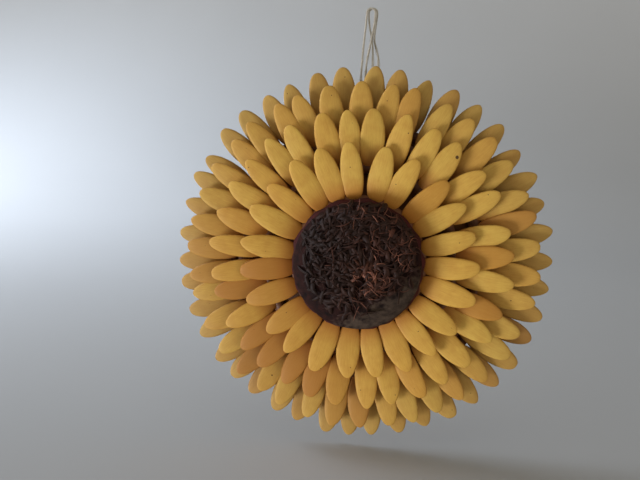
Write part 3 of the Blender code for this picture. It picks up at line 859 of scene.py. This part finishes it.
def foam_core(material):
    """The stepped core, turned in two parts so that its lowest step leaves the notch for the knot open."""
    bottom = BOARD_THICKNESS + GAP
    treads = [row.root_height - ROOT_ABOVE_TREAD for row in ROWS]
    inside = [root_radius(row) - RING_WIDTH / 2 - GAP for row in ROWS]
    outside = [root_radius(row) + RING_WIDTH / 2 for row in ROWS]
    bm = bmesh.new()
    upper = [
        (0.0, BALL_BOTTOM - GAP),
        (CORE_TOP_RADIUS, BALL_BOTTOM - GAP),
        (inside[0], treads[0]),
        (outside[0], treads[0]),
        (inside[1], treads[1]),
        (outside[1], treads[1]),
        (inside[2], treads[2]),
        (inside[3], treads[2]),
        (inside[3], treads[3]),
        (NOTCH_BOTTOM, treads[3]),
        (NOTCH_BOTTOM, bottom),
        (0.0, bottom),
    ]
    turned_cap(bm, upper)
    # The lowest step: a rectangle turned from one side of the notch to the other.
    half_notch = math.asin(NOTCH_WIDTH / 2 / BOARD_RADIUS)
    top = treads[3]
    corners = [(BOARD_RADIUS, top), (BOARD_RADIUS, bottom), (NOTCH_BOTTOM, bottom), (NOTCH_BOTTOM, top)]
    start = [bm.verts.new((0.0, radius, height)) for radius, height in corners]
    face = bm.faces.new(start)
    bmesh.ops.rotate(bm, verts=start, cent=(0, 0, 0), matrix=Matrix.Rotation(half_notch, 3, "Z"))
    before = set(bm.faces) - {face}
    bmesh.ops.spin(
        bm, geom=[face], cent=(0, 0, 0), axis=(0, 0, 1), angle=math.tau - 2 * half_notch, steps=120
    )
    bmesh.ops.recalc_face_normals(bm, faces=[f for f in bm.faces if f not in before])
    piece = finished("foam_steps", bm, [material], ["foam_core"])
    piece.data.set_sharp_from_angle(angle=SHARP_ANGLE)


def backing_disc(material):
    """The round board, with its rims a little broken."""
    bm = bmesh.new()
    bmesh.ops.create_cone(
        bm,
        cap_ends=True,
        segments=160,
        radius1=BOARD_RADIUS,
        radius2=BOARD_RADIUS,
        depth=BOARD_THICKNESS,
        matrix=Matrix.Translation((0, 0, BOARD_THICKNESS / 2)),
    )
    rims = [edge for edge in bm.edges if abs(edge.verts[0].co.z - edge.verts[1].co.z) < GAP]
    bmesh.ops.bevel(
        bm, geom=rims, offset=0.5 * MM, segments=3, profile=0.5, affect="EDGES", material=-1
    )
    piece = finished("plywood_back", bm, [material], ["backing_board"])
    piece.data.set_sharp_from_angle(angle=SHARP_ANGLE)


# Twine


def bight(aside, height):
    """The turn of the loop over its hook, from the left leg to the right one."""
    centre = HANG_DROP + TWINE_DIAMETER / 2 - BIGHT_RADIUS
    turns = [math.radians(angle) for angle in range(180, -1, -30)]
    return [(aside + BIGHT_RADIUS * math.cos(a), centre + BIGHT_RADIUS * math.sin(a), height) for a in turns]


# The legs of the two loops, from the knot up to the hook. Each point is (x, y, height), in metres.
FRONT_LOOP_LEFT = (
    (-0.0060, 0.1145, 0.0050),
    (-0.0074, 0.1220, 0.0050),
    (-0.0080, 0.1400, 0.0054),
    (-0.0078, 0.1620, 0.0060),
    (-0.0071, 0.1880, 0.0062),
    (-0.0062, 0.2080, 0.0056),
    (-0.0052, 0.2220, 0.0050),
    (-0.0048, 0.2310, 0.0048),
)
FRONT_LOOP_RIGHT = (
    (0.0032, 0.2310, 0.0048),
    (0.0027, 0.2230, 0.0050),
    (0.0017, 0.2150, 0.0056),
    (0.0005, 0.2070, 0.0062),
    (-0.0012, 0.1980, 0.0064),
    (-0.0027, 0.1880, 0.0064),
    (-0.0034, 0.1700, 0.0060),
    (-0.0032, 0.1420, 0.0054),
    (-0.0026, 0.1230, 0.0050),
    (-0.0020, 0.1145, 0.0050),
)
BACK_LOOP_LEFT = (
    (0.0020, 0.1145, 0.0050),
    (0.0026, 0.1230, 0.0050),
    (0.0030, 0.1420, 0.0048),
    (0.0030, 0.1680, 0.0040),
    (0.0027, 0.1900, 0.0034),
    (0.0018, 0.2020, 0.0030),
    (0.0000, 0.2120, 0.0026),
    (-0.0021, 0.2220, 0.0024),
    (-0.0032, 0.2310, 0.0023),
)
BACK_LOOP_RIGHT = (
    (0.0048, 0.2310, 0.0023),
    (0.0041, 0.2230, 0.0022),
    (0.0032, 0.2130, 0.0018),
    (0.0036, 0.2060, 0.0017),
    (0.0058, 0.1990, 0.0020),
    (0.0078, 0.1910, 0.0028),
    (0.0086, 0.1780, 0.0036),
    (0.0088, 0.1600, 0.0042),
    (0.0084, 0.1400, 0.0048),
    (0.0076, 0.1230, 0.0050),
    (0.0060, 0.1145, 0.0050),
)


def smooth_line(points, step):
    """A smooth curve through the points, with a point of its own at each and at even steps between."""
    points = [Vector(p) for p in points]
    padded = [2 * points[0] - points[1], *points, 2 * points[-1] - points[-2]]
    line = []
    for a, b, c, d in zip(padded, padded[1:], padded[2:], padded[3:]):
        steps = max(1, round((c - b).length / step))
        for i in range(steps):
            t = i / steps
            line.append(
                0.5
                * (
                    2 * b
                    + (c - a) * t
                    + (2 * a - 5 * b + 4 * c - d) * t**2
                    + (3 * b - a - 3 * c + d) * t**3
                )
            )
    line.append(points[-1])
    return line


def frames_along(line):
    """Tangent, side and up at each point, carried along the line without turning about it."""
    side = Vector((0, 0, 1))
    found = []
    for i, point in enumerate(line):
        tangent = (line[min(i + 1, len(line) - 1)] - line[max(i - 1, 0)]).normalized()
        side = (side - tangent * side.dot(tangent)).normalized()
        found.append((point, side.copy(), tangent.cross(side)))
    return found


def yarn(bm, layers, line, radius, offset, pitch, phase, draw, sides=7):
    """One yarn wound round a line: a small ring at each point, bridged to the next."""
    number = draw.uniform(0, 1000)
    reach = 0.0
    last = None
    rings = []
    for i, (point, side, up) in enumerate(frames_along(line)):
        if last is not None:
            reach += (point - last).length
        last = point
        turn = phase + math.tau * reach / pitch
        swell = 1 + YARN_SWELL * noise.noise(Vector((reach / (6 * MM), number, 0)))
        centre = point + (side * math.cos(turn) + up * math.sin(turn)) * offset
        tangent = side.cross(up)
        ring = bmesh.ops.create_circle(bm, segments=sides, radius=radius * swell)["verts"]
        look = Matrix((side, up, tangent)).transposed().to_4x4()
        bmesh.ops.transform(bm, matrix=Matrix.Translation(centre) @ look, verts=ring)
        for k, vert in enumerate(ring):
            vert[layers.grain] = (k * math.tau * radius / sides / MM, reach / MM, number)
        rings.append(list(dict.fromkeys(edge for vert in ring for edge in vert.link_edges)))
    made = bmesh.ops.holes_fill(bm, edges=rings[0] + rings[-1], sides=0)["faces"]
    for first, second in zip(rings, rings[1:]):
        made += bmesh.ops.bridge_loops(bm, edges=first + second)["faces"]
    bmesh.ops.recalc_face_normals(bm, faces=made)
    for face in made:
        face.normal_update()
    # A tight coil can come out turned inside out, and then its volume is negative.
    if sum(face.calc_center_median().dot(face.normal) * face.calc_area() for face in made) < 0:
        bmesh.ops.reverse_faces(bm, faces=made)


def twine_loop(name, node, left, right, aside, height, material):
    """One loop of the hanger, spun of its yarns, from the knot over the hook and back."""
    line = smooth_line([*left, *bight(aside, height), *right], ROUTE_STEP)
    bm = bmesh.new()
    layers = new_layers(bm)
    draw = random.Random(name)
    for k in range(YARN_COUNT):
        yarn(bm, layers, line, YARN_RADIUS, YARN_OFFSET, YARN_PITCH, math.tau * k / YARN_COUNT, draw)
    piece = finished(name, bm, [material], [node])


def fuzz(material):
    """Loose fibres that have sprung out of the twine, each a thin bent yarn."""
    bm = bmesh.new()
    layers = new_layers(bm)
    draw = random.Random(SEED)
    routes = (FRONT_LOOP_LEFT, FRONT_LOOP_RIGHT, BACK_LOOP_LEFT, BACK_LOOP_RIGHT)
    legs = [smooth_line(route, ROUTE_STEP) for route in routes]
    for _ in range(FUZZ_COUNT):
        line = draw.choice(legs)
        start = draw.randrange(4, len(line) - 30)
        span = draw.randrange(8, 26)
        away = Vector((draw.uniform(-1, 1), 0, draw.uniform(-1, 1))).normalized()
        reach = draw.uniform(0.8, 2.6) * MM
        hair = [
            line[start + i] + away * (0.7 * MM + reach * (i / span) ** 2)
            for i in range(0, span, 2)
            if start + i < len(line)
        ]
        yarn(bm, layers, hair, FUZZ_RADIUS, 0.0, YARN_PITCH, 0.0, draw, sides=4)
    finished("twine_fuzz", bm, [material])


def knot(material):
    """The twine's ends, wound round on themselves three times and drawn tight."""
    bm = bmesh.new()
    layers = new_layers(bm)
    draw = random.Random(SEED)
    points = []
    per_turn = 24
    for i in range(int(KNOT_TURNS * per_turn) + 1):
        angle = math.tau * i / per_turn
        run = i / (KNOT_TURNS * per_turn) - 0.5
        place = Vector((run * KNOT_LENGTH, KNOT_HEIGHT * math.cos(angle), KNOT_DEPTH * math.sin(angle)))
        points.append(KNOT_CENTRE + place)
    for k in range(2):
        yarn(bm, layers, points, 0.6 * MM, 0.45 * MM, YARN_PITCH, math.pi * k, draw)
    finished("tied_knot", bm, [material], ["twine_knot"])


# Surroundings


def sweep(material):
    """A pale floor just below the flower that curves up, far behind it, to a backdrop."""
    floor = -HANG_DROP - FLOWER_RADIUS - FLOOR_DROP
    near, far, rise, radius = -2.6, 2.7, 2.9, 1.5
    left, width, steps = -2.3, 5.2, 24
    bm = bmesh.new()
    profile = [(near, floor), (far - radius, floor)]
    for i in range(1, steps + 1):
        angle = math.pi / 2 * i / steps
        profile.append((far - radius + radius * math.sin(angle), floor + radius * (1 - math.cos(angle))))
    profile.append((far, floor + rise))
    points = [bm.verts.new((left, y, z)) for y, z in profile]
    edges = [bm.edges.new(pair) for pair in zip(points, points[1:])]
    across = bmesh.ops.extrude_edge_only(bm, edges=edges)["geom"]
    moved = [item for item in across if isinstance(item, bmesh.types.BMVert)]
    bmesh.ops.translate(bm, verts=moved, vec=(width, 0, 0))
    bmesh.ops.recalc_face_normals(bm, faces=bm.faces)
    mesh = bpy.data.meshes.new("studio_sweep")
    bm.to_mesh(mesh)
    bm.free()
    mesh.materials.append(material)
    mesh.shade_smooth()
    piece = bpy.data.objects.new("studio_sweep", mesh)
    # The window's light also comes from below the flower, past the floor.
    piece.visible_shadow = False
    bpy.context.scene.collection.objects.link(piece)


def camera():
    """The photo's view: the flower's back centre falls on its pixel because the camera turns to it."""
    centre = Vector((0, HOOK_HEIGHT, -HANG_DROP))
    back = Vector(
        (
            math.sin(CAMERA_AZIMUTH) * math.cos(CAMERA_ELEVATION),
            -math.cos(CAMERA_AZIMUTH) * math.cos(CAMERA_ELEVATION),
            math.sin(CAMERA_ELEVATION),
        )
    )
    ahead = -back
    right = ahead.cross(Vector((0, 0, 1))).normalized()
    down = ahead.cross(right)
    lean = Matrix.Rotation(-CAMERA_ROLL, 3, ahead)
    axes = Matrix((lean @ right, lean @ down, ahead)).transposed()
    ray = Vector(
        (
            (FLOWER_PIXEL[0] - IMAGE_WIDTH / 2) / FOCAL_PIXELS,
            (FLOWER_PIXEL[1] - IMAGE_HEIGHT / 2) / FOCAL_PIXELS,
            1.0,
        )
    ).normalized()
    axes = axes @ Vector((0, 0, 1)).rotation_difference(ray).to_matrix().inverted()
    data = bpy.data.cameras.new("photo_view")
    data.sensor_width = SENSOR_WIDTH
    data.lens = SENSOR_WIDTH * FOCAL_PIXELS / IMAGE_WIDTH
    data.clip_end = 50
    made = bpy.data.objects.new("photo_view", data)
    bpy.context.scene.collection.objects.link(made)
    turned = Matrix((axes.col[0], -axes.col[1], -axes.col[2])).transposed().to_4x4()
    made.matrix_world = Matrix.Translation(centre + back * CAMERA_DISTANCE) @ turned
    bpy.context.scene.camera = made


def soft_light(name, place, size, watts, tint, aim, spread=180):
    """A square lamp at a place, aimed at a point. Its spread is in degrees."""
    data = bpy.data.lights.new(name, "AREA")
    data.shape = "SQUARE"
    data.size = size
    data.spread = math.radians(spread)
    data.energy = watts
    data.color = colour(tint)[:3]
    lamp = bpy.data.objects.new(name, data)
    lamp.location = place
    lamp.rotation_euler = (Vector(aim) - Vector(place)).to_track_quat("-Z", "Y").to_euler()
    bpy.context.scene.collection.objects.link(lamp)


def far_light(name, energy, spread, tint, travel):
    """Light from far off that travels one way. Its spread, in degrees, is how wide its source looks."""
    data = bpy.data.lights.new(name, "SUN")
    data.energy = energy
    data.angle = math.radians(spread)
    data.color = colour(tint)[:3]
    lamp = bpy.data.objects.new(name, data)
    lamp.rotation_euler = Vector(travel).to_track_quat("-Z", "Y").to_euler()
    bpy.context.scene.collection.objects.link(lamp)


def studio():
    """A big window low at the left and in front, dull warm light from the right and from above, an even sky,
    and two lamps at the left that are aimed at the backdrop and the floor."""
    centre = Vector((0, 0, -HANG_DROP))
    wall, ground = centre + Vector((-1.4, 2.5, -0.5)), centre + Vector((-1.3, 1.3, -0.8))
    far_light("window", 2.4, 22, "#f6f8ff", (1.0, 0.66, 0.54))
    far_light("window_surround", 1.1, 110, "#fff6ea", (1.0, 0.62, 0.42))
    soft_light("room", centre + Vector((1.5, -1.5, -0.2)), 1.2, 9, "#f4e8d4", centre)
    soft_light("ceiling", centre + Vector((0.1, -0.5, 1.9)), 1.6, 3, "#fff3e4", centre)
    soft_light("backdrop_light", centre + Vector((-4.2, 0.3, -0.2)), 2.2, 15, "#d8e6ff", wall)
    soft_light("floor_light", centre + Vector((-2.8, 0.7, 1.2)), 1.6, 58, "#dde8fb", ground, 100)
    world = bpy.data.worlds.new("even_sky")
    world.use_nodes = True
    sky = world.node_tree.nodes["Background"]
    sky.inputs["Color"].default_value = colour("#efe9df")
    sky.inputs["Strength"].default_value = 0.27
    bpy.context.scene.world = world
    bpy.context.scene.view_settings.view_transform = "Standard"


camera()
studio()

jute = spun_jute()
front, back = HOOK_HEIGHT + LOOP_APART, HOOK_HEIGHT - LOOP_APART
twine_loop("jute_loop_front", "twine_loop_front", FRONT_LOOP_LEFT, FRONT_LOOP_RIGHT, -LOOP_ASIDE, front, jute)
twine_loop("jute_loop_back", "twine_loop_back", BACK_LOOP_LEFT, BACK_LOOP_RIGHT, LOOP_ASIDE, back, jute)
fuzz(jute)
knot(jute)

petal_finish = [dyed_wood(), hot_glue()]
for row_number, petals in enumerate(ROWS, start=1):
    petal_row(petals, row_number, petal_finish)

half_ball(painted_foam("painted_maroon_foam", "#2c0f10", "#4c1c1c", 3.5 * MM))
shavings([dyed_shavings(), wood_dust()])
foam_core(painted_foam("painted_brown_foam", "#4a2c16", "#6e451f", 4 * MM))
backing_disc(plywood())
sweep(seamless_paper())
